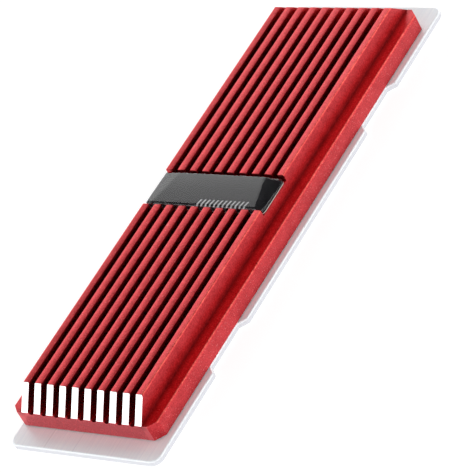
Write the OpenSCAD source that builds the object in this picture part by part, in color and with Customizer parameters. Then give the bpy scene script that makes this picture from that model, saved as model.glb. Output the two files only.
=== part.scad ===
// Finned heat sink and back plate that clamp an M.2 2280 solid state drive between them.
// X runs across the width, Y along the length and Z up. The origin is at the middle of the
// back plate's underside, and the back plate lies flat on Z = 0. No drive is fitted, so the
// heat sink rests loose on the plate, a little off its middle.

/* [Heat sink base] */
// Length of the base, along the drive
base_len = 70; // [56:0.5:90]
// Width of the base
base_w = 21.6; // [17.5:0.1:28]
// Thickness of the base under the fins
base_t = 2.3; // [1.6:0.1:4]
// Length cut off each way at the base's four upright corners
base_corner_cut = 1.1; // [0.5:0.1:1.6]
// Width of the broken edge along the top of the base's long sides
base_break = 0.2; // [0.05:0.05:0.4]
// How far the heat sink lies off the back plate's middle, across the width
sink_off_x = -0.6; // [-1:0.1:1]
// How far the heat sink lies off the back plate's middle, along the length
sink_off_y = -0.1; // [-2:0.1:2]

/* [Fins] */
// Number of fins
fin_count = 10; // [4:1:12]
// Thickness of each fin
fin_t = 0.98; // [0.6:0.02:1.2]
// Height of the fins above the base
fin_h = 2.55; // [1.8:0.05:6]
// Slope of the bevel across the ends of the fins, from level
fin_end_angle = 45; // [35:1:75]
// Width of the bare ledge beside each outer fin
ledge_w = 1.8; // [1:0.05:3]
// How far the slots between the fins run down into the base
slot_extra = 0.25; // [0:0.05:0.6]
// Width of the small flat along the outer top edge of each outer fin
outer_flat = 0.15; // [0.05:0.05:0.4]

/* [Badge] */
// Width of the groove milled across the fins for the badge
groove_w = 5.95; // [4:0.05:12]
// Depth of that groove below the tops of the fins
groove_depth = 0.9; // [0.7:0.05:1.2]
// Where the middle of the groove lies along the heat sink, from the sink's middle
groove_shift = -0.1; // [-12:0.1:12]
// Clearance between the badge and the groove's two walls
badge_clear = 0.15; // [0.05:0.05:0.5]
// How far the badge stops short of the outer faces of the outer fins
badge_inset = 0.1; // [0:0.05:1]
// Radius of the badge's corners
badge_corner_r = 0.6; // [0.2:0.1:1.5]
// Thickness of the badge's adhesive layer
adhesive_t = 0.1; // [0.05:0.05:0.2]
// Thickness of the badge's printed film
film_t = 0.15; // [0.05:0.05:0.2]
// How far the clear dome's crown stays below the tops of the fins
crown_drop = 0.03; // [0:0.01:0.1]
// Thickness of the clear dome at its rim
dome_rim_t = 0.12; // [0.05:0.01:0.15]

/* [Thermal tapes] */
// Thickness of each thermal tape
tape_t = 0.04; // [0.04:0.01:1]
// Thickness of the release liner on the drive's side of each tape
liner_t = 0.02; // [0.02:0.01:0.1]
// How much narrower and shorter than the base the tapes are, at each edge
tape_margin = 1; // [0.5:0.1:2]
// Radius of the tapes' corners
tape_corner_r = 0.8; // [0.3:0.1:1.5]

/* [Back plate] */
// Thickness of the back plate
plate_t = 0.75; // [0.6:0.05:2]
// How far the plate runs past the heat sink's length at each end, when the two are centred
plate_overhang = 3.1; // [2.2:0.1:6]
// How far the plate stands out past the base at each long side, when the two are centred
plate_lip = 0.3; // [0:0.05:1]
// Radius of the plate's four corners
plate_corner_r = 1.3; // [0.5:0.1:3]
// Width of the broken edge round the top of the plate
plate_break = 0.15; // [0.05:0.05:0.4]

/* [Band notches] */
// Length of each notch's floor, for one silicone band
notch_len = 6.6; // [4:0.05:9]
// Depth of the notches into the plate's long sides
notch_depth = 0.95; // [0.4:0.05:1.5]
// Distance from each end of the plate to the middle of the notch nearest to it
notch_from_end = 18.1; // [10:0.05:24]
// Slope of the notches' sloping sides, from the plate's length
notch_angle = 45; // [30:5:75]

/* [Hidden] */
$fn = 64;
// Straight steps in the round bottom of each slot
arc_steps = 12;
// Steps from the middle of the badge's crown to its rim, and how squarely the crown falls
crown_steps = 8;
crown_power = 4;
// Extra length that carries a cut past the face that it opens
over = 1;

// Heights, from the back plate up
plate_top = plate_t;
lower_liner_z = plate_top + tape_t;
upper_liner_z = lower_liner_z + liner_t;
upper_tape_z = upper_liner_z + liner_t;
sink_z = upper_tape_z + tape_t;
ledge_z = sink_z + base_t;
fin_top = ledge_z + fin_h;
groove_z = fin_top - groove_depth;

// Fins share the width that the two ledges leave
fins_w = base_w - 2 * ledge_w;
fin_gap = (fins_w - fin_count * fin_t) / (fin_count - 1);
fin_pitch = fin_t + fin_gap;
slot_r = fin_gap / 2;
slot_floor = base_t - slot_extra;
fin_end_run = fin_h / tan(fin_end_angle);

// Back plate
plate_len = base_len + 2 * plate_overhang;
plate_w = base_w + 2 * plate_lip;
notch_y = plate_len / 2 - notch_from_end;
notch_run = notch_depth / tan(notch_angle);

// Tapes
tape_len = base_len - 2 * tape_margin;
tape_w = base_w - 2 * tape_margin;

// Badge
badge_len = fins_w - 2 * badge_inset;
badge_w = groove_w - 2 * badge_clear;
badge_y = sink_off_y + groove_shift;
film_z = groove_z + adhesive_t;
dome_z = film_z + film_t;
dome_h = fin_top - crown_drop - dome_z;
dome_rise = dome_h - dome_rim_t;

// Points of an arc about [x, y] from one angle to another
function arc(x, y, r, from, to) = [
    for (i = [0 : arc_steps])
        let (a = from + (to - from) * i / arc_steps)
        [x + r * cos(a), y + r * sin(a)]
];

// Height of a shallow crown at a place from its middle, as a share of its half width
function crown(share, rim, rise) = rim + rise * (1 - pow(abs(share), crown_power));

// Rectangle about the origin with true round corners
module round_rect(w, l, r) {
    square([w - 2 * r, l], center = true);
    square([w, l - 2 * r], center = true);
    for (x = [-1, 1], y = [-1, 1])
        translate([x * (w / 2 - r), y * (l / 2 - r)]) circle(r = r);
}

// Rectangle about the origin with its four corners cut off at 45 degrees
module cut_rect(w, l, cut) {
    polygon([
        [cut - w / 2, -l / 2],
        [w / 2 - cut, -l / 2],
        [w / 2, cut - l / 2],
        [w / 2, l / 2 - cut],
        [w / 2 - cut, l / 2],
        [cut - w / 2, l / 2],
        [-w / 2, l / 2 - cut],
        [-w / 2, cut - l / 2]
    ]);
}

// Prism along Y whose cross-section is drawn in X and Z
module along_y(length) {
    rotate([90, 0, 0]) linear_extrude(length, center = true) children();
}

// Prism along X whose cross-section is drawn in Y and Z
module along_x(length) {
    rotate([90, 0, 90]) linear_extrude(length, center = true) children();
}

// Cross-section of a bar that stands on the X axis with its two top edges broken
module broken_bar(w, h, edge) {
    polygon([
        [-w / 2, 0],
        [w / 2, 0],
        [w / 2, h - edge],
        [w / 2 - edge, h],
        [edge - w / 2, h],
        [-w / 2, h - edge]
    ]);
}

// Slot with a round bottom, between fin i and the next one, open at the top
module slot_profile(i) {
    x = -fins_w / 2 + fin_t + slot_r + i * fin_pitch;
    open_y = base_t + fin_h + over;
    polygon(concat(
        arc(x, slot_floor + slot_r, slot_r, 180, 360),
        [[x + slot_r, open_y], [x - slot_r, open_y]]
    ));
}

// Cross-section of the extruded heat sink, standing on the X axis
module sink_profile() {
    difference() {
        union() {
            broken_bar(base_w, base_t, base_break);
            translate([0, base_t - over]) broken_bar(fins_w, fin_h + over, outer_flat);
        }
        for (i = [0 : fin_count - 2]) slot_profile(i);
    }
}

// Side view of the heat sink, with the bevel across the fins at both ends
module sink_side_profile() {
    polygon([
        [-base_len / 2, 0],
        [base_len / 2, 0],
        [base_len / 2, base_t],
        [base_len / 2 - fin_end_run, base_t + fin_h],
        [fin_end_run - base_len / 2, base_t + fin_h],
        [-base_len / 2, base_t]
    ]);
}

// Extrusion cut to length with bevelled ends, cut corners and the badge's groove
module heat_sink() {
    color([0.8, 0.1, 0.14])
    translate([sink_off_x, sink_off_y, sink_z])
    difference() {
        intersection() {
            along_y(base_len) sink_profile();
            along_x(base_w) sink_side_profile();
            linear_extrude(base_t + fin_h) cut_rect(base_w, base_len, base_corner_cut);
        }
        translate([-fins_w / 2 - over, groove_shift - groove_w / 2, base_t + fin_h - groove_depth])
            cube([fins_w + 2 * over, groove_w, groove_depth + over]);
    }
}

// Layer of the badge: its outline, raised by a thickness
module badge_layer(z, thickness) {
    translate([sink_off_x, badge_y, z])
        linear_extrude(thickness) round_rect(badge_len, badge_w, badge_corner_r);
}

// Double-sided adhesive that holds the badge on the cut-down fins
module badge_adhesive() {
    color([0.72, 0.72, 0.68]) badge_layer(groove_z, adhesive_t);
}

// Printed black film of the badge
module badge_film() {
    color([0.05, 0.05, 0.06]) badge_layer(film_z, film_t);
}

// Section of the dome over a width, flat in its middle and falling to its rim
module dome_profile(w) {
    polygon(concat(
        [[w / 2, 0], [w / 2, dome_rim_t]],
        [for (i = [crown_steps - 1 : -1 : 1 - crown_steps])
            [w / 2 * i / crown_steps, crown(i / crown_steps, dome_rim_t, dome_rise)]],
        [[-w / 2, dome_rim_t], [-w / 2, 0]]
    ));
}

// Clear poured dome over the film, crowned across its width and along its length
module badge_dome() {
    color([0.2, 0.2, 0.22, 0.6])
    intersection() {
        badge_layer(dome_z, dome_h);
        translate([sink_off_x, badge_y, dome_z]) along_x(badge_len) dome_profile(badge_w);
        translate([sink_off_x, badge_y, dome_z]) along_y(badge_w) dome_profile(badge_len);
    }
}

// Sheet with the tapes' outline
module tape_sheet(x, y, z, thickness) {
    translate([x, y, z])
        linear_extrude(thickness) round_rect(tape_w, tape_len, tape_corner_r);
}

// Tape stuck to the middle of the back plate, under the drive
module lower_thermal_tape() {
    color([0.62, 0.66, 0.7]) tape_sheet(0, 0, plate_top, tape_t);
}

// Release liner that stays on the lower tape until a drive is fitted
module lower_tape_liner() {
    color([0.75, 0.85, 0.95, 0.5]) tape_sheet(0, 0, lower_liner_z, liner_t);
}

// Release liner that stays on the upper tape until a drive is fitted
module upper_tape_liner() {
    color([0.75, 0.85, 0.95, 0.5]) tape_sheet(sink_off_x, sink_off_y, upper_liner_z, liner_t);
}

// Tape stuck to the middle of the heat sink's underside, over the drive
module upper_thermal_tape() {
    color([0.62, 0.66, 0.7]) tape_sheet(sink_off_x, sink_off_y, upper_tape_z, tape_t);
}

// Notch for a band, open towards +X, with its floor at the plate's side less the depth
module notch_profile() {
    floor_half = notch_len / 2;
    mouth_half = floor_half + notch_run * (notch_depth + over) / notch_depth;
    polygon([
        [-notch_depth, -floor_half],
        [over, -mouth_half],
        [over, mouth_half],
        [-notch_depth, floor_half]
    ]);
}

// Flat plate with round corners, four band notches and a broken top edge
module back_plate() {
    color([0.85, 0.86, 0.88])
    intersection() {
        linear_extrude(plate_t)
            difference() {
                round_rect(plate_w, plate_len, plate_corner_r);
                for (side = [0, 180], y = [-notch_y, notch_y])
                    rotate(side) translate([plate_w / 2, y]) notch_profile();
            }
        along_y(plate_len) broken_bar(plate_w, plate_t, plate_break);
        along_x(plate_w) broken_bar(plate_len, plate_t, plate_break);
    }
}

back_plate();
lower_thermal_tape();
lower_tape_liner();
upper_tape_liner();
upper_thermal_tape();
heat_sink();
badge_adhesive();
badge_film();
badge_dome();
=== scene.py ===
"""Finishes, light and camera for a finned M.2 heat sink that lies on its back plate.

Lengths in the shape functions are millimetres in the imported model's own frame: X across the
width, Y along the length, Z up, the back plate's underside on Z = 0. Meshes are made in metres.
"""
import math

import bmesh
import bpy
import numpy as np
from mathutils import Matrix, Vector


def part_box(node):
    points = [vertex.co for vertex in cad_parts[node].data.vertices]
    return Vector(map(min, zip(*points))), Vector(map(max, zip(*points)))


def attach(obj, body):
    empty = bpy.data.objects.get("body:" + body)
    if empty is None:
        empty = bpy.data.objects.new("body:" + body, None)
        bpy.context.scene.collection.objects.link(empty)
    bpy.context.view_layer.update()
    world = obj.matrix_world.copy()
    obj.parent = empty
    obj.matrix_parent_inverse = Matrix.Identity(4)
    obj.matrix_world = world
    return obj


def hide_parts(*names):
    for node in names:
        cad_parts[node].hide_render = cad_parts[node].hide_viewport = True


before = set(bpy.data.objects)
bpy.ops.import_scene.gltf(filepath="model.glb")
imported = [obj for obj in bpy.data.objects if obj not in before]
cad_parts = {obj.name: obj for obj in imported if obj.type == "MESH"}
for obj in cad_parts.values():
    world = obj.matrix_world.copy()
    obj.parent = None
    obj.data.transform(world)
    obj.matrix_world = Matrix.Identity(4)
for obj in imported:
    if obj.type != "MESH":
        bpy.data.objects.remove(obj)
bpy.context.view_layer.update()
MM = 0.001


# ---------------------------------------------------------------- sizes, from the frame

def span(node):
    """Lowest and highest corner of a CAD node, in millimetres."""
    low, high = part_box(node)
    return np.array(low) / MM, np.array(high) / MM


SINK_LOW, SINK_HIGH = span("heat_sink")
PLATE_LOW, PLATE_HIGH = span("back_plate")
GLUE_LOW, GLUE_HIGH = span("badge_adhesive")
DOME_LOW, DOME_HIGH = span("badge_dome")

BASE_W, BASE_LEN, SINK_H = SINK_HIGH - SINK_LOW
SINK_X, SINK_Y = (SINK_LOW[:2] + SINK_HIGH[:2]) / 2
PLATE_W, PLATE_LEN, PLATE_T = PLATE_HIGH - PLATE_LOW

# Heat sink, as extruded and milled
FIN_COUNT = 10
FIN_T = 0.98
LEDGE_W = 1.8
FIN_H = 2.55
LEDGE_Z = SINK_H - FIN_H
SLOT_EXTRA = 0.25
OUTER_FLAT = 0.15
BASE_BREAK = 0.2
BASE_CORNER_CUT = 1.1
FIN_EDGE_R = 0.08
FINS_W = BASE_W - 2 * LEDGE_W
FIN_GAP = (FINS_W - FIN_COUNT * FIN_T) / (FIN_COUNT - 1)
FIN_PITCH = FIN_T + FIN_GAP

# Groove for the badge, wider than the badge by a clearance at each side
GROOVE_CLEAR = 0.15
GROOVE_Y = (GLUE_LOW[1] + GLUE_HIGH[1]) / 2
GROOVE_W = GLUE_HIGH[1] - GLUE_LOW[1] + 2 * GROOVE_CLEAR
GROOVE_Z = GLUE_LOW[2] - SINK_LOW[2]

# Back plate
PLATE_CORNER_R = 1.3
PLATE_BREAK = 0.15
NOTCH_BEND_R = 0.25
NOTCH_LEN = 6.6
NOTCH_DEPTH = 0.95
NOTCH_FROM_END = 18.1
NOTCH_RUN = NOTCH_DEPTH

# Soft break that deburring leaves on every machined edge
DEBURR = 0.045

# Tapes, liners and badge layers. Clear pieces stay a skin inside their nodes, so none share a face
TAPE_CORNER_R = 0.8
TAPE_EDGE_R = 0.015
LINER_EDGE_R = 0.006
LINER_SKIN = 0.002
BADGE_CORNER_R = 0.6
GLUE_EDGE_R = 0.02
FILM_EDGE_R = 0.03
DOME_SKIN = 0.006
DOME_RIM = 0.12

# Edges sharper than this many degrees are rounded, or shaded as edges
SHARP = 28.0


# ---------------------------------------------------------------- shapes

def arc(x, y, r, start, stop, steps):
    """Points of an arc: centre plus r times (cos a, sin a), a running evenly in degrees."""
    a = np.radians(np.linspace(start, stop, steps + 1))
    return np.stack([x + r * np.cos(a), y + r * np.sin(a)], 1)


def build(name, points, faces, smooth_below=SHARP):
    """A mesh object at the origin from points in millimetres and faces given by index."""
    mesh = bpy.data.meshes.new(name)
    mesh.from_pydata((np.asarray(points, float) * MM).tolist(), [], faces)
    mesh.validate()
    mesh.polygons.foreach_set("use_smooth", np.ones(len(mesh.polygons), bool))
    mesh.set_sharp_from_angle(angle=math.radians(smooth_below))
    mesh.update()
    piece = bpy.data.objects.new(name, mesh)
    bpy.context.scene.collection.objects.link(piece)
    return piece


def soften(piece, width, segments=2):
    """Rounds the piece's outward sharp edges by a width in millimetres, and leaves inner corners."""
    shape = bmesh.new()
    shape.from_mesh(piece.data)
    sharp = [edge.calc_face_angle_signed(0.0) > math.radians(SHARP) for edge in shape.edges]
    shape.free()
    weights = piece.data.attributes.new("bevel_weight_edge", "FLOAT", "EDGE")
    weights.data.foreach_set("value", np.array(sharp, float))
    bevel = piece.modifiers.new("deburr", "BEVEL")
    bevel.width = width * MM
    bevel.segments = segments
    bevel.limit_method = "WEIGHT"
    bevel.harden_normals = True
    bevel.use_clamp_overlap = True
    return piece


def sink_section():
    """The heat sink's cross-section as X from its middle and Z above its underside.

    It runs anticlockwise from below left. The base's outline has a point where each upright
    corner's 45 degree cut begins. Slots end in half circles, cut where they cross the ledge's
    height, and the fins' sides have a point at the badge groove's floor.
    """
    half = BASE_W / 2
    columns = np.array([half - BASE_CORNER_CUT, half - BASE_BREAK, half])
    drop = np.maximum(0, columns - (half - BASE_BREAK))
    right_top = np.stack([columns, LEDGE_Z - drop], 1)[::-1]
    bottom_x = np.concatenate([-columns[::-1], columns])
    bottom = np.stack([bottom_x, np.zeros_like(bottom_x)], 1)

    top = SINK_H
    edge = FINS_W / 2
    outer_right = [[edge, LEDGE_Z], [edge, GROOVE_Z], [edge, top - OUTER_FLAT], [edge - OUTER_FLAT, top]]
    parts = [right_top, outer_right]
    slot_r = FIN_GAP / 2
    slot_z = LEDGE_Z - SLOT_EXTRA + slot_r
    cross = math.degrees(math.asin((LEDGE_Z - slot_z) / slot_r))
    for i in range(FIN_COUNT - 1):
        right = edge - FIN_T - i * FIN_PITCH
        left = right - FIN_GAP
        middle = (left + right) / 2
        parts += [
            arc(right + FIN_EDGE_R, top - FIN_EDGE_R, FIN_EDGE_R, 90, 180, 4),
            [[right, GROOVE_Z]],
            arc(middle, slot_z, slot_r, 0, cross, 2),
            arc(middle, slot_z, slot_r, cross, -180 - cross, 8)[1:],
            arc(middle, slot_z, slot_r, -180 - cross, -180, 2)[1:],
            [[left, GROOVE_Z]],
            arc(left - FIN_EDGE_R, top - FIN_EDGE_R, FIN_EDGE_R, 0, 90, 4),
        ]
    mirror = np.array([-1, 1])
    parts.append(np.array(outer_right)[::-1] * mirror)
    parts.append(right_top[::-1] * mirror)
    return np.concatenate([bottom] + [np.asarray(p, float) for p in parts]), len(columns)


def runs(flags):
    """First and last index of each unbroken run of true values."""
    edges = np.flatnonzero(np.diff(np.concatenate([[0], flags.astype(int), [0]])))
    return list(zip(edges[::2], edges[1::2] - 1))


def sink_piece():
    """The heat sink: its section carried along Y through four stations.

    Each end is pulled back by a point's height above the ledge, which is the 45 degree bevel
    across the fins, and by how far the point lies into the cut corner of the base. Between the
    groove's walls, points above the groove's floor are left out.
    """
    ring, n_col = sink_section()
    n = len(ring)
    x, z = ring.T
    back = np.maximum(0, z - LEDGE_Z) + np.maximum(0, np.abs(x) - (BASE_W / 2 - BASE_CORNER_CUT))
    near = SINK_LOW[1] + back
    far = SINK_HIGH[1] - back
    wall_near = np.full(n, GROOVE_Y - GROOVE_W / 2)
    wall_far = np.full(n, GROOVE_Y + GROOVE_W / 2)
    stations = (near, wall_near, wall_far, far)
    points = np.concatenate([np.stack([x + SINK_X, y, z + SINK_LOW[2]], 1) for y in stations])

    def along(indices, a, b):
        """Quads between stations a and b for successive points of the section."""
        following = np.roll(indices, -1)
        quads = np.stack([indices + a * n, indices + b * n, following + b * n, following + a * n], 1)
        return quads.tolist()

    every = np.arange(n)
    slack = 1e-6
    upper = z > GROOVE_Z + slack
    faces = along(every, 0, 1) + along(every[~upper], 1, 2) + along(every, 2, 3)
    for first, last in runs(upper):
        tip = np.arange(first - 1, last + 2)
        faces.append((tip[::-1] + n).tolist())
        faces.append((tip + 2 * n).tolist())

    fins = z > LEDGE_Z + slack
    front = np.abs(x) < BASE_W / 2 - BASE_CORNER_CUT + slack
    caps = [np.arange(first - 1, last + 2) for first, last in runs(fins)]
    caps.append(every[front & ~fins])
    for i in range(n_col - 1):
        right = np.array([n_col + i, n_col + i + 1])
        top_right = 3 * n_col - 1 - np.array([i + 1, i])
        caps.append(np.concatenate([right, top_right]))
        left = n_col - 1 - np.array([i + 1, i])
        top_left = n - n_col + np.array([i, i + 1])
        caps.append(np.concatenate([left, top_left]))
    for cap in caps:
        faces.append(cap.tolist())
        faces.append((cap[::-1] + 3 * n).tolist())
    return soften(build("sink_body", points, faces), DEBURR)


def round_rectangle(w, l, r, steps=10):
    """Anticlockwise outline of a rectangle about the origin with round corners."""
    a, b = w / 2 - r, l / 2 - r
    corners = ((a, -b, -90), (a, b, 0), (-a, b, 90), (-a, -b, 180))
    return np.concatenate([arc(x, y, r, start, start + 90, steps) for x, y, start in corners])


def inset(outline, distance):
    """An outline moved inwards: each point goes along the mean of its two edges' normals."""
    edge = np.roll(outline, -1, 0) - outline
    edge /= np.linalg.norm(edge, axis=1, keepdims=True)
    normal = np.stack([-edge[:, 1], edge[:, 0]], 1)
    mean = normal + np.roll(normal, 1, 0)
    mean /= (mean * normal).sum(1, keepdims=True)
    return outline + distance * mean


def slab_piece(name, outline, profile, smooth_below=SHARP):
    """A flat piece: its outline repeated up a profile of (inset, height) pairs, and closed."""
    rings = []
    for distance, height in profile:
        ring = inset(outline, distance)
        rings.append(np.column_stack([ring, np.full(len(ring), height)]))
    n = len(outline)
    here = np.arange(n)
    following = np.roll(here, -1)
    faces = []
    for k in range(len(profile) - 1):
        a, b = k * n, (k + 1) * n
        faces += np.stack([here + a, following + a, following + b, here + b], 1).tolist()
    faces.append(here[::-1].tolist())
    faces.append((here + (len(profile) - 1) * n).tolist())
    return build(name, np.concatenate(rings), faces, smooth_below)


def plate_outline():
    """The back plate's outline: a round rectangle with two notches in each long side."""
    a, b = PLATE_W / 2, PLATE_LEN / 2
    half = NOTCH_LEN / 2
    r = NOTCH_BEND_R
    bend = r * math.tan(math.radians(45 / 2))
    middle = b - NOTCH_FROM_END

    def notch(y):
        """One notch in the right side, its four bends rounded by arcs of radius r."""
        mouth = half + NOTCH_RUN
        floor_x = a - NOTCH_DEPTH
        return np.concatenate([
            arc(a - r, y - mouth - bend, r, 0, 45, 3),
            arc(floor_x + r, y - half + bend, r, 225, 180, 3),
            arc(floor_x + r, y + half - bend, r, 180, 135, 3),
            arc(a - r, y + mouth + bend, r, -45, 0, 3),
        ])

    r_c = PLATE_CORNER_R
    right = np.concatenate([
        arc(a - r_c, r_c - b, r_c, -90, 0, 10),
        notch(-middle),
        notch(middle),
        arc(a - r_c, b - r_c, r_c, 0, 90, 10),
    ])
    return np.concatenate([right, -right])


def plate_piece():
    """The back plate, with a broken top edge and a slight break below.

    Every inset is smaller than the notches' bend radius, so no stretch of the outline folds over.
    """
    c, t = PLATE_BREAK, PLATE_T
    profile = [
        (0.12, 0), (0.07, 0), (0.02, 0.02), (0, 0.07), (0, t - c - 0.04), (0.015, t - c + 0.01),
        (c - 0.01, t - 0.015), (c + 0.04, t), (c + 0.08, t),
    ]
    return slab_piece("plate_body", plate_outline(), profile, 40)


def sheet_piece(name, node, corner_r, edge_r, skin=0.0):
    """A flat soft piece in the space of a CAD node, less a skin all round.

    The profile turns a quarter circle of radius edge_r at the lower and at the upper edge.
    """
    low, high = span(node)
    size = high - low - 2 * skin
    centre = (low + high) / 2
    outline = round_rectangle(size[0], size[1], corner_r) + centre[:2]
    turn = np.radians(np.linspace(0, 90, 4))
    inwards = edge_r * (1 - np.sin(turn))
    upwards = edge_r * (1 - np.cos(turn))
    lower = list(zip(inwards, low[2] + skin + upwards))
    upper = list(zip(inwards[::-1], high[2] - skin - upwards[::-1]))
    flat = 2 * edge_r + 0.3
    profile = [(flat, low[2] + skin)] + lower + upper + [(flat, high[2] - skin)]
    return slab_piece(name, outline, profile, 50)


def dense(outline, step):
    """An outline with points added evenly along each edge, one to two steps apart."""
    edge = np.roll(outline, -1, 0) - outline
    cuts = np.maximum(1, (np.linalg.norm(edge, axis=1) / step).astype(int))
    start = np.repeat(np.arange(len(outline)), cuts)
    first = np.repeat(np.cumsum(cuts) - cuts, cuts)
    share = (np.arange(cuts.sum()) - first) / cuts[start]
    return outline[start] + edge[start] * share[:, None]


def resin_height(xy, a, b, rise):
    """Height of the resin's free surface above its rim, inside a rectangle of half sizes a and b.

    It is the crown, less a slight bulge across, bulge * (y/b)^2, and less the fall towards each
    end. Over the last part of the length, longer towards the far side, the slope grows evenly for
    a distance bend and then stays at fall, which is steeper at the right end. All round, a
    quarter circle of radius edge_r takes the surface down to the rim.
    """
    bulge, bend, edge_r = 0.04, 0.4, 0.4
    last, lean = 1.95, 0.8
    fall = np.where(xy[:, 0] > 0, 0.21, 0.06)
    x, y = np.abs(xy[:, 0]), xy[:, 1] / b
    u = np.maximum(0, x - a + last + lean * y)
    drop = fall * np.where(u < bend, u**2 / (2 * bend), u - bend / 2)
    free = rise - bulge * y**2 - drop
    beside = np.maximum(1e-4, np.stack([a - x, b - np.abs(xy[:, 1])]))
    inside = np.minimum(1, (beside**-4.0).sum(0) ** -0.25 / edge_r)
    return free * np.sqrt(1 - (1 - inside) ** 2)


def dome_piece():
    """The badge's clear dome, a skin of resin held up by its own edge.

    Its rings are the outline scaled towards the middle, closer together near the rim, and raised
    by resin_height. Its flat underside has the second material.
    """
    size = DOME_HIGH - DOME_LOW
    centre = (DOME_HIGH + DOME_LOW) / 2
    half_x, half_y = size[:2] / 2
    outline = dense(round_rectangle(size[0], size[1], BADGE_CORNER_R, 12), 0.3)
    n = len(outline)
    ring_count, smallest, crowding = 60, 0.02, 1.25
    under_edge, foot_edge, free_edge, lip_edge = 0.9, 0.999, 0.995, 0.9985
    foot_z, wall_z = 0.02, DOME_RIM * 0.6

    def ring(scale, height):
        """The outline scaled towards the middle, at one height or at one for each point."""
        return np.column_stack([outline * scale, np.broadcast_to(height, n)])

    def surface(scale):
        """Height of the free surface along a scaled outline."""
        return DOME_RIM + resin_height(outline * scale, half_x, half_y, size[2] - DOME_RIM)

    rings = [
        ring(under_edge, DOME_SKIN),
        ring(foot_edge, DOME_SKIN),
        ring(1, foot_z),
        ring(1, wall_z),
        ring(lip_edge, np.minimum(surface(free_edge), DOME_RIM)),
    ]
    scales = 1 - (1 - np.linspace(1, smallest, ring_count)) ** crowding
    rings += [ring(scale, surface(scale)) for scale in free_edge * np.sort(scales)[::-1]]
    points = np.concatenate(rings)
    points[:, :2] += centre[:2]
    points[:, 2] += DOME_LOW[2]
    here = np.arange(n)
    following = np.roll(here, -1)
    faces = []
    for k in range(len(rings) - 1):
        i, j = k * n, (k + 1) * n
        faces += np.stack([here + i, following + i, following + j, here + j], 1).tolist()
    faces.append(here[::-1].tolist())
    faces.append((here + (len(rings) - 1) * n).tolist())
    lens = build("badge_lens", points, faces, 60)
    normals = np.empty(3 * len(lens.data.polygons))
    lens.data.polygons.foreach_get("normal", normals)
    lens.data.polygons.foreach_set("material_index", (normals[2::3] < -0.9).astype(int))
    return lens


# ---------------------------------------------------------------- shader helpers

def join(tree, source, target):
    """Links an output socket to an input socket."""
    tree.links.new(source, target)


def feed(tree, socket, value):
    """Sets an input socket to a plain value, or links it where the value is an output socket."""
    if isinstance(value, bpy.types.NodeSocket):
        join(tree, value, socket)
    else:
        socket.default_value = value


def put(tree, kind, **inputs):
    """A node with some of its inputs set, by name or, as i0, i1, by index."""
    node = tree.nodes.new(kind)
    for key, value in inputs.items():
        by_index = key[0] == "i" and key[1:].isdigit()
        feed(tree, node.inputs[int(key[1:]) if by_index else key], value)
    return node


def maths(tree, operation, a, b=0.0):
    """Output of a Math node."""
    node = put(tree, "ShaderNodeMath", i0=a, i1=b)
    node.operation = operation
    return node.outputs[0]


def plus(tree, a, b):
    """Sum of two values."""
    return maths(tree, "ADD", a, b)


def minus(tree, a, b):
    """First value less the second."""
    return maths(tree, "SUBTRACT", a, b)


def times(tree, a, b):
    """Product of two values."""
    return maths(tree, "MULTIPLY", a, b)


def over(tree, a, b):
    """First value divided by the second."""
    return maths(tree, "DIVIDE", a, b)


def positive(tree, value):
    """A value without its sign."""
    return maths(tree, "ABSOLUTE", value)


def remap(tree, value, low, high, to_low=0.0, to_high=1.0):
    """Output of a clamped Map Range node."""
    node = put(tree, "ShaderNodeMapRange", i0=value, i1=low, i2=high, i3=to_low, i4=to_high)
    return node.outputs[0]


def blend(tree, share, a, b):
    """Output of a colour Mix node."""
    node = tree.nodes.new("ShaderNodeMix")
    node.data_type = "RGBA"
    for index, value in ((0, share), (6, a), (7, b)):
        feed(tree, node.inputs[index], value)
    return node.outputs[2]


def group(name, ins, outs):
    """An empty shader node group with the sockets asked for, and its two ends."""
    tree = bpy.data.node_groups.new(name, "ShaderNodeTree")
    for label, kind, value in ins:
        socket = tree.interface.new_socket(name=label, in_out="INPUT", socket_type=f"NodeSocket{kind}")
        if value is not None:
            socket.default_value = value
    for label, kind in outs:
        tree.interface.new_socket(name=label, in_out="OUTPUT", socket_type=f"NodeSocket{kind}")
    return tree, tree.nodes.new("NodeGroupInput"), tree.nodes.new("NodeGroupOutput")


def use(tree, made, **inputs):
    """A node group placed in a material."""
    node = tree.nodes.new("ShaderNodeGroup")
    node.node_tree = made
    for key, value in inputs.items():
        feed(tree, node.inputs[key], value)
    return node


def finish_of(name):
    """A material with a Principled shader: the tree, the shader and its Object coordinates."""
    material = bpy.data.materials.new(name)
    material.use_nodes = True
    tree = material.node_tree
    shader = tree.nodes["Principled BSDF"]
    coords = tree.nodes.new("ShaderNodeTexCoord").outputs["Object"]
    return material, tree, shader, coords


def bump(tree, height, strength, distance):
    """Normal output of a Bump node, its distance in millimetres."""
    node = put(tree, "ShaderNodeBump", Height=height, Strength=strength, Distance=distance * MM)
    return node.outputs["Normal"]


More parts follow.
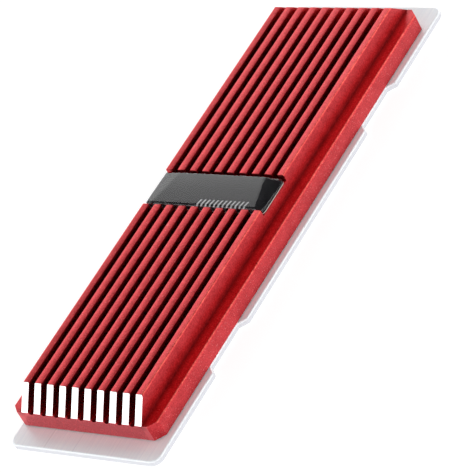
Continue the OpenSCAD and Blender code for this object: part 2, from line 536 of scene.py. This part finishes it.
def grain_group():
    """Even fine grain: two sizes of noise and scattered bright points."""
    tree, gin, gout = group(
        "fine_grain",
        [("Vector", "Vector", None), ("Size", "Float", 0.2), ("Sparkle", "Float", 0.5)],
        [("Grain", "Float"), ("Specks", "Float")],
    )
    fine_share = 0.72
    place = gin.outputs["Vector"]
    scale = over(tree, 1 / MM, gin.outputs["Size"])
    fine = put(tree, "ShaderNodeTexNoise", Vector=place, Scale=scale, Detail=2.0, Roughness=0.6)
    wide = put(tree, "ShaderNodeTexNoise", Vector=place, Scale=times(tree, scale, 0.13), Detail=2.0)
    fine_part = times(tree, fine.outputs[0], fine_share)
    wide_part = times(tree, wide.outputs[0], 1 - fine_share)
    join(tree, remap(tree, plus(tree, fine_part, wide_part), 0.32, 0.68), gout.inputs["Grain"])
    cells = put(tree, "ShaderNodeTexVoronoi", Vector=place, Scale=times(tree, scale, 0.8))
    draw = put(tree, "ShaderNodeSeparateColor", i0=cells.outputs["Color"]).outputs[0]
    chosen = remap(tree, draw, 0.82, 0.9)
    near = remap(tree, cells.outputs["Distance"], 0.35, 0.1)
    join(tree, times(tree, times(tree, chosen, near), gin.outputs["Sparkle"]), gout.inputs["Specks"])
    return tree


def lines_group():
    """Fine lines along Y: noise squeezed across them, with a few deeper scratches."""
    tree, gin, gout = group(
        "drawn_lines",
        [("Vector", "Vector", None), ("Width", "Float", 0.12), ("Length", "Float", 8.0)],
        [("Lines", "Float"), ("Scratches", "Float")],
    )
    across = over(tree, 1 / MM, gin.outputs["Width"])
    along = over(tree, 1 / MM, gin.outputs["Length"])
    stretch = put(tree, "ShaderNodeCombineXYZ", i0=across, i1=along, i2=across)
    place = put(tree, "ShaderNodeVectorMath", i0=gin.outputs["Vector"], i1=stretch.outputs[0])
    place.operation = "MULTIPLY"
    noise = put(tree, "ShaderNodeTexNoise", Vector=place.outputs[0], Scale=1.0, Detail=3.0, Roughness=0.65)
    join(tree, remap(tree, noise.outputs[0], 0.3, 0.7), gout.inputs["Lines"])
    rare = put(tree, "ShaderNodeTexNoise", Vector=place.outputs[0], Scale=0.4, Detail=1.0)
    join(tree, remap(tree, rare.outputs[0], 0.68, 0.74), gout.inputs["Scratches"])
    return tree


def dust_group():
    """A thin scatter of dust: a mask of small soft specks."""
    tree, gin, gout = group(
        "dust",
        [("Vector", "Vector", None), ("Spacing", "Float", 1.2), ("Amount", "Float", 0.3)],
        [("Dust", "Float")],
    )
    scale = over(tree, 1 / MM, gin.outputs["Spacing"])
    cells = put(tree, "ShaderNodeTexVoronoi", Vector=gin.outputs["Vector"], Scale=scale)
    draw = put(tree, "ShaderNodeSeparateColor", i0=cells.outputs["Color"]).outputs[0]
    few = remap(tree, draw, 0.75, 0.8)
    speck = remap(tree, cells.outputs["Distance"], 0.07, 0.03)
    join(tree, times(tree, times(tree, few, speck), gin.outputs["Amount"]), gout.inputs["Dust"])
    return tree


GRAIN = grain_group()
LINES = lines_group()
DUST = dust_group()


# ---------------------------------------------------------------- finishes

# Tones of the anodised metal: the dye's range, its drawn lines, a painted highlight on the outer
# edges, where it is sawn thin, painted shade deep in the slots, painted glints, dust on it, and the bare
# cut
RED_DEEP = (0.42, 0.012, 0.018, 1)
RED_LIGHT = (0.77, 0.062, 0.072, 1)
RED_LINE = (0.4, 0.012, 0.02, 1)
# Painted glints: bright points scattered over the grain
RED_GLINT = (0.9, 0.32, 0.32, 1)
RED_DUST = (0.75, 0.5, 0.5, 1)
RED_SAWN = (0.78, 0.13, 0.15, 1)
# Painted highlight along the base's and the outer fins' outer edges
RED_EDGE_HIGHLIGHT = (0.95, 0.16, 0.12, 1)
# Painted shade: the dark that the slots' depths and the outer fins' feet are blended towards
RED_SLOT_SHADE = (0.09, 0.001, 0.002, 1)
BARE_CUT = (0.95, 0.95, 0.955, 1)


def edge_highlight(tree, from_side, height, coords):
    """Painted highlight: a broken bright line on the base's and the outer fins' outer edges.

    It is full where the distances across and up from an edge add to less than core, and fades out
    where they add to reach.
    """
    core, reach = 0.08, 0.24
    ledge = SINK_LOW[2] + LEDGE_Z
    places = ((BASE_W / 2 - BASE_BREAK / 2, ledge), (FINS_W / 2 - OUTER_FLAT / 2, SINK_HIGH[2]))
    near = []
    for across, up in places:
        aside = positive(tree, minus(tree, from_side, across * MM))
        above = positive(tree, minus(tree, height, up * MM))
        near.append(remap(tree, plus(tree, aside, above), reach * MM, core * MM))
    patches = put(tree, "ShaderNodeTexNoise", Vector=coords, Scale=1900.0, Detail=3.0, Roughness=0.7)
    broken = remap(tree, patches.outputs[0], 0.42, 0.62, 0.2, 0.9)
    return times(tree, maths(tree, "MAXIMUM", *near), broken)


def anodised_finish():
    """Satin red anodising over bead blast, and bare bright metal where the fins' ends are cut.

    The cut is the plane where the distance along Y from the sink's middle, plus the height, is
    the same as at the base's top edge. Painted shade darkens the colour down in the slots and in
    the two inner corners at the outer fins' feet, and the dye is paler on the base's sawn ends. A
    painted highlight runs along the outer edges, and painted glints are scattered over the grain.
    """
    slot_start, slot_full, slot_shade_share = 0.07, 0.5, 0.12
    foot_reach, foot_shade_share, sawn_share = 0.9, 0.5, 0.7
    edge_soft = 0.03 * MM
    material, tree, shader, coords = finish_of("red_anodised")
    axes = put(tree, "ShaderNodeSeparateXYZ", i0=coords).outputs
    from_middle = positive(tree, minus(tree, axes[1], SINK_Y * MM))
    from_side = positive(tree, minus(tree, axes[0], SINK_X * MM))
    ledge = (SINK_LOW[2] + LEDGE_Z) * MM
    top = SINK_HIGH[2] * MM
    reach = plus(tree, from_middle, axes[2])
    plane = BASE_LEN / 2 * MM + ledge
    on_plane = remap(tree, reach, plane - edge_soft, plane - 0.4 * edge_soft)
    above = remap(tree, axes[2], ledge, ledge + edge_soft)
    bare = times(tree, on_plane, above)

    grain = use(tree, GRAIN, Vector=coords, Size=0.17, Sparkle=0.55)
    lines = use(tree, LINES, Vector=coords, Width=0.16, Length=14.0)
    dust = use(tree, DUST, Vector=coords, Spacing=3.4, Amount=0.15)
    tone = blend(tree, grain.outputs["Grain"], RED_DEEP, RED_LIGHT)
    tone = blend(tree, times(tree, lines.outputs["Lines"], 0.12), tone, RED_LINE)
    # Painted glints: bright points from the grain's specks
    tone = blend(tree, grain.outputs["Specks"], tone, RED_GLINT)
    tone = blend(tree, dust.outputs["Dust"], tone, RED_DUST)

    # Painted shade: the colour is darkened down in the slots and in the inner corners at the outer fins'
    # feet
    between = remap(tree, from_side, (FINS_W / 2 - 0.02) * MM, (FINS_W / 2 - 0.06) * MM)
    depth = remap(tree, axes[2], top - slot_start * MM, top - slot_full * MM)
    slot = times(tree, between, depth)
    aside = minus(tree, from_side, FINS_W / 2 * MM)
    corner = put(tree, "ShaderNodeCombineXYZ", i0=aside, i2=minus(tree, axes[2], ledge))
    away = put(tree, "ShaderNodeVectorMath", i0=corner.outputs[0])
    away.operation = "LENGTH"
    foot_shade = remap(tree, away.outputs["Value"], foot_reach * MM, 0.05 * MM, 0.0, foot_shade_share)
    painted_shade = maths(tree, "MAXIMUM", times(tree, slot, slot_shade_share), foot_shade)
    end = BASE_LEN / 2 * MM
    sawn = remap(tree, from_middle, end - edge_soft, end - 0.5 * edge_soft, 0.0, sawn_share)
    tone = blend(tree, sawn, tone, RED_SAWN)
    # Painted highlight: a broken bright line along the outer edges
    tone = blend(tree, edge_highlight(tree, from_side, axes[2], coords), tone, RED_EDGE_HIGHLIGHT)
    # Painted shade in the slots and at the fins' feet
    tone = blend(tree, painted_shade, tone, RED_SLOT_SHADE)
    join(tree, blend(tree, bare, tone, BARE_CUT), shader.inputs["Base Color"])

    rough = plus(tree, times(tree, grain.outputs["Grain"], 0.1), 0.33)
    rough = minus(tree, rough, times(tree, slot, 0.12))
    join(tree, minus(tree, rough, times(tree, bare, 0.08)), shader.inputs["Roughness"])
    dyed = minus(tree, 1.0, maths(tree, "MAXIMUM", bare, slot))
    join(tree, times(tree, dyed, 0.25), shader.inputs["Coat Weight"])
    shader.inputs["Coat Roughness"].default_value = 0.32
    shader.inputs["Metallic"].default_value = 1.0
    height = plus(tree, grain.outputs["Grain"], times(tree, lines.outputs["Lines"], 0.25))
    join(tree, bump(tree, height, 0.35, 0.012), shader.inputs["Normal"])
    return material


def aluminium_finish():
    """Bare rolled sheet: fine lines along the length, faint clouding and a few scratches.

    Its sides are painted a little greyer than its faces, as painted shade.
    """
    material, tree, shader, coords = finish_of("bare_aluminium")
    lines = use(tree, LINES, Vector=coords, Width=0.13, Length=7.0)
    coarse = use(tree, LINES, Vector=coords, Width=0.7, Length=30.0)
    grain = use(tree, GRAIN, Vector=coords, Size=0.5, Sparkle=0.0)
    dust = use(tree, DUST, Vector=coords, Spacing=2.0, Amount=0.3)
    tone = blend(tree, lines.outputs["Lines"], (0.84, 0.88, 0.93, 1), (0.97, 1.0, 1.0, 1))
    tone = blend(tree, times(tree, coarse.outputs["Lines"], 0.35), tone, (0.88, 0.88, 0.92, 1))
    tone = blend(tree, times(tree, lines.outputs["Scratches"], 0.3), tone, (0.6, 0.6, 0.63, 1))
    tone = blend(tree, dust.outputs["Dust"], tone, (0.6, 0.58, 0.57, 1))
    height = put(tree, "ShaderNodeSeparateXYZ", i0=coords).outputs[2]
    # Painted shade: the plate's sides, below its top break, are blended greyer
    side = remap(tree, height, (PLATE_T - 0.1) * MM, (PLATE_T - 0.22) * MM)
    tone = blend(tree, side, tone, (0.66, 0.67, 0.71, 1))
    join(tree, tone, shader.inputs["Base Color"])
    rough = plus(tree, times(tree, lines.outputs["Lines"], 0.1), 0.36)
    join(tree, plus(tree, rough, times(tree, grain.outputs["Grain"], 0.05)), shader.inputs["Roughness"])
    shader.inputs["Metallic"].default_value = 0.2
    height = minus(tree, lines.outputs["Lines"], lines.outputs["Scratches"])
    join(tree, bump(tree, height, 0.3, 0.008), shader.inputs["Normal"])
    return material


def tape_finish():
    """Soft thermal tape: matt, mottled, with a filler's fine grain."""
    material, tree, shader, coords = finish_of("thermal_tape")
    grain = use(tree, GRAIN, Vector=coords, Size=0.3, Sparkle=0.4)
    clouds = put(tree, "ShaderNodeTexNoise", Vector=coords, Scale=260.0, Detail=4.0)
    cloud = remap(tree, clouds.outputs[0], 0.35, 0.65)
    tone = blend(tree, cloud, (0.25, 0.31, 0.38, 1), (0.36, 0.42, 0.48, 1))
    tone = blend(tree, times(tree, grain.outputs["Grain"], 0.3), tone, (0.46, 0.52, 0.57, 1))
    tone = blend(tree, grain.outputs["Specks"], tone, (0.7, 0.74, 0.78, 1))
    join(tree, tone, shader.inputs["Base Color"])
    join(tree, remap(tree, grain.outputs["Grain"], 0, 1, 0.6, 0.8), shader.inputs["Roughness"])
    join(tree, bump(tree, grain.outputs["Grain"], 0.5, 0.02), shader.inputs["Normal"])
    return material


def liner_finish():
    """Clear release film with faint wrinkles."""
    material, tree, shader, coords = finish_of("liner_film")
    folds = put(tree, "ShaderNodeTexNoise", Vector=coords, Scale=180.0, Detail=3.0, Distortion=1.2)
    grain = use(tree, GRAIN, Vector=coords, Size=0.6, Sparkle=0.0)
    tone = blend(tree, folds.outputs[0], (0.74, 0.86, 0.97, 1), (0.88, 0.94, 0.99, 1))
    join(tree, tone, shader.inputs["Base Color"])
    join(tree, remap(tree, grain.outputs["Grain"], 0, 1, 0.08, 0.2), shader.inputs["Roughness"])
    shader.inputs["Transmission Weight"].default_value = 1.0
    shader.inputs["IOR"].default_value = 1.12
    join(tree, bump(tree, folds.outputs[0], 0.5, 0.15), shader.inputs["Normal"])
    return material


def glue_finish():
    """Off-white foam adhesive with small open cells."""
    material, tree, shader, coords = finish_of("badge_glue")
    grain = use(tree, GRAIN, Vector=coords, Size=0.12, Sparkle=0.0)
    tone = blend(tree, grain.outputs["Grain"], (0.42, 0.42, 0.38, 1), (0.66, 0.66, 0.6, 1))
    join(tree, tone, shader.inputs["Base Color"])
    shader.inputs["Roughness"].default_value = 0.8
    join(tree, bump(tree, grain.outputs["Grain"], 0.5, 0.02), shader.inputs["Normal"])
    return material


# Plain row of slanted strokes printed on the badge, low and right of its middle. Each stroke
# takes a share of the pitch, its slant is X per unit of Y, and its edges are soft by STROKE_SOFT
STROKES = 12
STROKE_PITCH = 0.64
STROKE_START = SINK_X - 1.35
STROKE_Y = -2.05
STROKE_TALL = 0.82
STROKE_SHARE = 0.4
STROKE_SLANT = 0.3
STROKE_SOFT = 0.05


def film_finish():
    """Black printed film with a row of pale slanted strokes."""
    material, tree, shader, coords = finish_of("badge_black")
    axes = put(tree, "ShaderNodeSeparateXYZ", i0=coords).outputs
    up = minus(tree, axes[1], STROKE_Y * MM)
    lean = minus(tree, axes[0], times(tree, up, STROKE_SLANT))
    count = over(tree, minus(tree, lean, STROKE_START * MM), STROKE_PITCH * MM)
    off = positive(tree, minus(tree, maths(tree, "FRACT", count), 0.5))
    stroke = remap(tree, off, STROKE_SHARE / 2 + STROKE_SOFT, STROKE_SHARE / 2 - STROKE_SOFT)
    middle = minus(tree, count, STROKES / 2)
    inside = maths(tree, "LESS_THAN", positive(tree, middle), STROKES / 2)
    end, soft = STROKE_TALL / 2 * MM, 0.03 * MM
    tall = remap(tree, positive(tree, up), end + soft, end - soft)
    print_mask = times(tree, times(tree, stroke, inside), tall)
    grain = use(tree, GRAIN, Vector=coords, Size=0.15, Sparkle=0.0)
    black = blend(tree, grain.outputs["Grain"], (0.012, 0.012, 0.015, 1), (0.017, 0.017, 0.021, 1))
    join(tree, blend(tree, print_mask, black, (0.86, 0.87, 0.88, 1)), shader.inputs["Base Color"])
    shader.inputs["Roughness"].default_value = 0.35
    shader.inputs["Specular IOR Level"].default_value = 0.15
    join(tree, bump(tree, grain.outputs["Grain"], 0.05, 0.004), shader.inputs["Normal"])
    return material


def bond_finish():
    """The resin's underside, which has cured onto the film: clear, with no surface of its own."""
    material, tree, shader, coords = finish_of("resin_bond")
    grain = use(tree, GRAIN, Vector=coords, Size=0.3, Sparkle=0.0)
    tone = blend(tree, grain.outputs["Grain"], (0.96, 0.96, 0.97, 1), (1, 1, 1, 1))
    join(tree, tone, shader.inputs["Base Color"])
    shader.inputs["Roughness"].default_value = 0.0
    shader.inputs["Transmission Weight"].default_value = 1.0
    shader.inputs["IOR"].default_value = 1.0
    return material


def resin_finish():
    """Clear poured resin, glossy, with the faintest waviness and a little dust."""
    material, tree, shader, coords = finish_of("clear_resin")
    wave = put(tree, "ShaderNodeTexNoise", Vector=coords, Scale=350.0, Detail=1.0)
    dust = use(tree, DUST, Vector=coords, Spacing=1.3, Amount=0.8)
    tone = blend(tree, dust.outputs["Dust"], (0.97, 0.97, 0.98, 1), (0.8, 0.8, 0.8, 1))
    join(tree, tone, shader.inputs["Base Color"])
    join(tree, remap(tree, dust.outputs["Dust"], 0, 1, 0.02, 0.5), shader.inputs["Roughness"])
    shader.inputs["Transmission Weight"].default_value = 1.0
    shader.inputs["IOR"].default_value = 1.5
    join(tree, bump(tree, wave.outputs[0], 0.02, 0.05), shader.inputs["Normal"])
    return material


# ---------------------------------------------------------------- the object

def dress(piece, node, body, material):
    """Gives a finished piece its material and body, and hides the CAD node it stands for."""
    piece.data.materials.append(material)
    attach(piece, body)
    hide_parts(node)


def layer(name, node, body, material, corner_r, edge_r, skin=0.0):
    """Makes a flat layer in a CAD node's place and dresses it."""
    dress(sheet_piece(name, node, corner_r, edge_r, skin), node, body, material)


def tape_layer(name, node, body):
    """One thermal tape."""
    layer(name, node, body, TAPE, TAPE_CORNER_R, TAPE_EDGE_R)


def liner_layer(name, node, body):
    """One release liner."""
    layer(name, node, body, LINER, TAPE_CORNER_R, LINER_EDGE_R, LINER_SKIN)


TAPE = tape_finish()
LINER = liner_finish()
dress(sink_piece(), "heat_sink", "sink", anodised_finish())
dress(plate_piece(), "back_plate", "base", aluminium_finish())
tape_layer("tape_upper", "upper_thermal_tape", "sink")
tape_layer("tape_lower", "lower_thermal_tape", "base")
liner_layer("liner_upper", "upper_tape_liner", "sink")
liner_layer("liner_lower", "lower_tape_liner", "base")
layer(
    "badge_glue_layer", "badge_adhesive", "sink", glue_finish(),
    BADGE_CORNER_R, GLUE_EDGE_R,
)
layer("badge_print", "badge_film", "sink", film_finish(), BADGE_CORNER_R, FILM_EDGE_R)
LENS = dome_piece()
dress(LENS, "badge_dome", "sink", resin_finish())
LENS.data.materials.append(bond_finish())


# ---------------------------------------------------------------- floor, light, camera

def pale_floor():
    """Plain pale floor, just under the back plate. Its half size is in metres."""
    half = 3.0
    level = -0.02 * MM
    corners = [(-half, -half), (half, -half), (half, half), (-half, half)]
    mesh = bpy.data.meshes.new("floor")
    mesh.from_pydata([(x, y, level) for x, y in corners], [], [(0, 1, 2, 3)])
    floor = bpy.data.objects.new("floor", mesh)
    bpy.context.scene.collection.objects.link(floor)
    material, tree, shader, coords = finish_of("pale_floor")
    noise = put(tree, "ShaderNodeTexNoise", Vector=coords, Scale=3.0)
    tone = blend(tree, noise.outputs[0], (0.4, 0.4, 0.4, 1), (0.42, 0.42, 0.42, 1))
    join(tree, tone, shader.inputs["Base Color"])
    shader.inputs["Roughness"].default_value = 0.9
    shader.inputs["Emission Color"].default_value = (1, 1, 1, 1)
    shader.inputs["Emission Strength"].default_value = 0.75
    mesh.materials.append(material)


# Brightness of the studio's walls by height: the sine of the elevation, then the level
WALLS = (
    (-1.0, 0.9), (0.0, 1.35), (0.33, 2.0), (0.46, 2.2), (0.53, 2.0), (0.587, 1.42),
    (0.62, 1.05), (0.643, 1.5), (0.66, 0.07), (1.0, 0.05),
)


def studio_walls():
    """Soft light all round from pale walls, under a dark ceiling."""
    world = bpy.data.worlds.new("studio")
    bpy.context.scene.world = world
    world.use_nodes = True
    tree = world.node_tree
    coords = tree.nodes.new("ShaderNodeTexCoord").outputs["Generated"]
    height = put(tree, "ShaderNodeSeparateXYZ", i0=coords).outputs[2]
    share = remap(tree, height, -1, 1)
    ramp = put(tree, "ShaderNodeValToRGB", Fac=share)
    ramp.color_ramp.interpolation = "EASE"
    brightest = max(level for _, level in WALLS)
    stops = ramp.color_ramp.elements
    while len(stops) < len(WALLS):
        stops.new(0.5)
    for stop, (sine, level) in zip(stops, WALLS):
        stop.position = (sine + 1) / 2
        stop.color = (*[level / brightest] * 3, 1)
    back = tree.nodes["Background"]
    join(tree, ramp.outputs["Color"], back.inputs["Color"])
    back.inputs["Strength"].default_value = brightest


# Camera: angles in degrees, distance, target and lens in millimetres
CAMERA_AZIMUTH = 48.78
CAMERA_ELEVATION = 35.95
CAMERA_ROLL = -29.92
CAMERA_DISTANCE = 357.93
CAMERA_TARGET = (3.839, -6.142, 4.0)
CAMERA_LENS = 230.24


def camera():
    """Long lens from above the near right corner, turned about its own axis."""
    data = bpy.data.cameras.new("camera")
    data.lens = CAMERA_LENS
    data.sensor_width = 36
    data.clip_start = 0.01
    piece = bpy.data.objects.new("camera", data)
    bpy.context.scene.collection.objects.link(piece)
    azimuth, elevation = math.radians(CAMERA_AZIMUTH), math.radians(CAMERA_ELEVATION)
    level = math.cos(elevation)
    away = Vector((math.sin(azimuth) * level, -math.cos(azimuth) * level, math.sin(elevation)))
    turn = Matrix.Rotation(azimuth, 4, "Z") @ Matrix.Rotation(math.pi / 2 - elevation, 4, "X")
    turn = turn @ Matrix.Rotation(math.radians(CAMERA_ROLL), 4, "Z")
    spot = (Vector(CAMERA_TARGET) + away * CAMERA_DISTANCE) * MM
    piece.matrix_world = Matrix.Translation(spot) @ turn
    bpy.context.scene.camera = piece


pale_floor()
studio_walls()
camera()
bpy.context.scene.view_settings.view_transform = "Standard"
